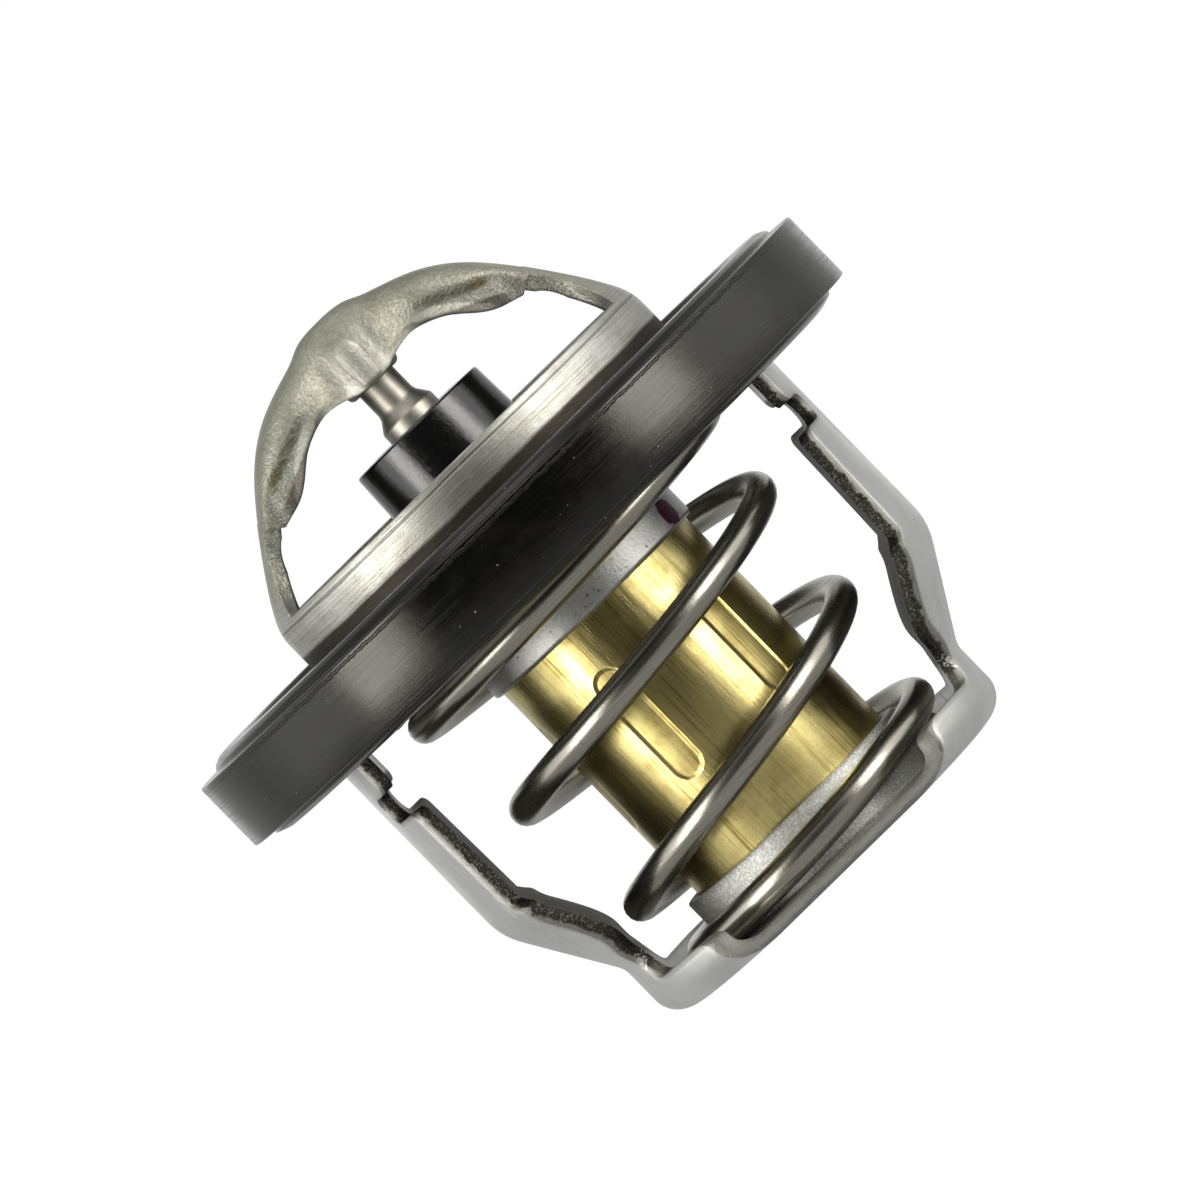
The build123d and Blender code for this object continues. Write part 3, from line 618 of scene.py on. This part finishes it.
def makePiston():
    p = piston
    stem, low, high = reach("piston")
    edgeIn, edgeUp = p["coneEdge"]
    section = [
        (p["core"], low), (p["tip"], low), (stem, low + p["taper"]), (stem, p["coneLow"]),
        (stem - edgeIn, p["coneLow"] + edgeUp), (p["neck"] + p["neckFlare"], p["coneTop"]),
        (p["neck"], p["coneTop"] + p["band"]), (p["neck"], high - p["end"]), (p["neck"] - p["end"], high),
        (p["core"], high),
    ]
    piece = spinPiece("pistonPin", section, p["rounding"], p["steps"])
    carry(piece, "housing", finishes["piston"])
    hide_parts("piston")


capsule = {                                          # the corner's points are back from the wall, and up
    "core": 0.02, "wall": 0.8, "floor": 1.0, "rounding": 0.05, "steps": 200,
    "corner": ((1.0, 0.0), (0.62, 0.08), (0.29, 0.29), (0.08, 0.62), (0.0, 1.0)),
}


def makeCapsule():
    c = capsule
    outer, low, high = reach("wax_capsule")
    inner = outer - c["wall"]
    floorTop = low + c["floor"]
    corner = [(outer - back, low + up) for back, up in c["corner"]]
    section = [
        (c["core"], low), *corner, (outer, high), (inner, high), (inner, floorTop), (c["core"], floorTop),
    ]
    piece = spinPiece("capsuleCup", section, c["rounding"], c["steps"])
    carry(piece, "valve", finishes["wax_capsule"])
    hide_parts("wax_capsule")


guideCollar = {"inner": 9.42, "outer": 10.39, "bottom": 0.9, "top": 5.52, "rounding": 0.14, "steps": 160}


def makeGuideCollar():                               # whole round the capsule, over the frame's own collar
    c = guideCollar
    section = [
        (c["inner"], c["bottom"]), (c["outer"], c["bottom"]),
        (c["outer"], c["top"]), (c["inner"], c["top"]),
    ]
    piece = spinPiece("guideCollar", section, c["rounding"], c["steps"])
    carry(piece, "housing", finishes["lower_frame"])


makeGasket()
makeCap()
makePiston()
makeCapsule()
makeGuideCollar()
print("turned pieces made")


# Closing spring, a tapered coil whose shares are its height at each quarter turn, from the top down

spring = {
    "wire": 1.225, "topRadius": 16.4, "footRadius": 11.95, "footHeight": 2.255, "topHeight": 30.695,
    "firstTurn": -0.5, "lastTurn": 3.95, "taperTurns": 4, "anchor": 1.03, "stroke": 8.5,
    "stepsEachTurn": 24, "smoothSteps": 3, "roundSteps": 7, "smoothAngle": 50,
    "shares": [1.0, 1.0, 0.996, 0.95, 0.916, 0.845, 0.754, 0.655, 0.582, 0.5, 0.418, 0.3,
               0.2, 0.142, 0.0905, 0.03, 0.004, 0.0, 0.0],
}


def springHeight(turn):                              # smooth through the heights of the quarter turns
    shares = spring["shares"]
    place = (turn - spring["firstTurn"]) * 4
    step = min(max(int(place), 0), len(shares) - 2)
    part = place - step
    before, start, end = shares[max(step - 1, 0)], shares[step], shares[step + 1]
    after = shares[min(step + 2, len(shares) - 1)]
    bend = 2 * before - 5 * start + 4 * end - after
    twist = 3 * start - before - 3 * end + after
    share = start + 0.5 * part * (end - before + part * (bend + part * twist))
    return spring["footHeight"] + (spring["topHeight"] - spring["footHeight"]) * min(max(share, 0), 1)


def makeSpring():
    s = spring
    clearSelection()
    bpy.ops.curve.primitive_nurbs_path_add(location=(0, 0, 0))
    wire = bpy.context.object
    wire.name = "closingSpring"
    wire.data.splines.clear()
    line = wire.data.splines.new("NURBS")
    steps = round((s["lastTurn"] - s["firstTurn"]) * s["stepsEachTurn"])
    line.points.add(steps)
    for step, point in enumerate(line.points):
        turn = s["firstTurn"] + (s["lastTurn"] - s["firstTurn"]) * step / steps
        taper = min(max((turn - s["firstTurn"]) / s["taperTurns"], 0), 1)
        radius = s["topRadius"] + (s["footRadius"] - s["topRadius"]) * taper
        across = radius * math.cos(math.tau * turn)
        deep = -radius * math.sin(math.tau * turn)
        point.co = (across * mm, deep * mm, springHeight(turn) * mm, 1)
    line.order_u = 4
    line.use_endpoint_u = True
    line.resolution_u = s["smoothSteps"]
    wire.data.bevel_depth = s["wire"] * mm
    wire.data.bevel_resolution = s["roundSteps"]
    wire.data.use_fill_caps = True
    bpy.ops.object.convert(target="MESH")
    clearSelection()
    wire.select_set(True)
    bpy.context.view_layer.objects.active = wire
    bpy.ops.object.shade_smooth_by_angle(angle=math.radians(s["smoothAngle"]))
    carry(wire, "housing", finishes["main_spring"])
    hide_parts("main_spring")
    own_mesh(wire)


makeSpring()
print("spring wound")


# Studio

view = {                                             # millimetres, and the photograph's roll in degrees
    "aim": (0.57, 0.0, 26.0), "eyeHeight": 47.2, "distance": 845.0, "acrossFrame": 87.8, "sensor": 36.0,
    "roll": -44.3, "farthest": 20000.0,
}


def makeCamera():
    aim = Vector(view["aim"]) * mm
    eye = Vector((view["aim"][0], -view["distance"], view["eyeHeight"])) * mm
    camera = bpy.data.cameras.new("camera")
    holder = bpy.data.objects.new("camera", camera)
    bpy.context.scene.collection.objects.link(holder)
    camera.sensor_width = view["sensor"]
    camera.lens = view["sensor"] * (aim - eye).length / (view["acrossFrame"] * mm)
    camera.clip_end = view["farthest"] * mm
    look = (aim - eye).to_track_quat("-Z", "Y").to_matrix().to_4x4()
    roll = Matrix.Rotation(math.radians(view["roll"]), 4, "Z")
    holder.matrix_world = Matrix.Translation(eye) @ look @ roll
    bpy.context.scene.camera = holder


lampColour = (1.0, 0.985, 0.93)
lampAim = (0, 0, 0.028)
lamps = {                                            # metres and watts
    "softboxLeft": {"place": (-0.472, -0.337, 0.06), "size": (0.23, 0.80), "power": 3.6},
    "softboxRight": {"place": (0.457, -0.357, 0.06), "size": (0.23, 0.80), "power": 3.7},
    "softboxTop": {"place": (0.0, -0.15, 0.60), "size": (0.30, 0.30), "power": 0.4},
}


def makeLamp(name, place, size, power):
    lamp = bpy.data.lights.new(name, "AREA")
    lamp.shape = "RECTANGLE"
    lamp.size, lamp.size_y = size
    lamp.energy = power
    lamp.color = lampColour
    holder = bpy.data.objects.new(name, lamp)
    bpy.context.scene.collection.objects.link(holder)
    holder.location = place
    holder.rotation_euler = (Vector(lampAim) - Vector(place)).to_track_quat("-Z", "Y").to_euler()


floorPaper = {"size": 0.42, "grey": (0.85, 0.85, 0.85, 1), "white": 1.2, "glow": 0.80, "mirrored": 0.40}


def makeFloor():                                     # white to the camera, dimmer where it is mirrored
    p = floorPaper
    clearSelection()
    bpy.ops.mesh.primitive_plane_add(size=p["size"], location=(0, 0, 0))
    floor = bpy.context.object
    floor.name = "floor"
    f = Finish("floorPaper")
    rays = f.node("LightPath").socket.node.outputs
    seen = Signal(f, rays["Is Camera Ray"])
    glossy = Signal(f, rays["Is Glossy Ray"])
    through = Signal(f, rays["Is Transmission Ray"])
    share = (p["glow"] * seen + glossy + through).clamp()
    paper = f.node("BsdfDiffuse", {}, {"Color": p["grey"]})
    white = f.mix(glossy, (1, 1, 1, 1), (p["mirrored"], p["mirrored"], p["mirrored"], 1))
    glow = f.node("Emission", {}, {"Color": white, "Strength": p["white"]})
    floor.data.materials.append(f.finishWith(f.node("MixShader", {}, {0: share, 1: paper, 2: glow})))


surround = {
    "poles": 0.16, "top": 0.36, "front": 0.035, "sides": 1.45, "rear": 0.50, "back": 1.0, "seen": 1.02,
}


def makeSurround():                                  # bright sides, dark front, white to the camera
    s = surround
    f = Finish("surround", world=True)
    seen = Signal(f, f.node("LightPath").socket.node.outputs["Is Camera Ray"])
    y, z = f.axes(f.node("TexCoord", out="Generated"))[1:]
    belt = f.band(z.size(), 0.85, 0.45)
    level = f.band(y, -0.75, -0.28, s["front"], s["sides"])
    level = level + f.band(y, 0.0, 0.55, 0.0, s["rear"] - s["sides"])
    level = level + f.band(y, 0.85, 1.0, 0.0, s["back"] - s["rear"])
    poles = f.band(z, 0.3, 0.95, s["poles"], s["top"])
    light = poles + belt * (level - poles)
    strength = s["seen"] * seen + (1.0 - seen) * light
    back = f.node("Background", {}, {"Color": (1, 1, 1, 1), "Strength": strength})
    bpy.context.scene.world = f.finishWith(back)


makeCamera()
for name, lamp in lamps.items():
    makeLamp(name, **lamp)
makeFloor()
makeSurround()
bpy.context.scene.view_settings.view_transform = "Standard"
print("studio set")
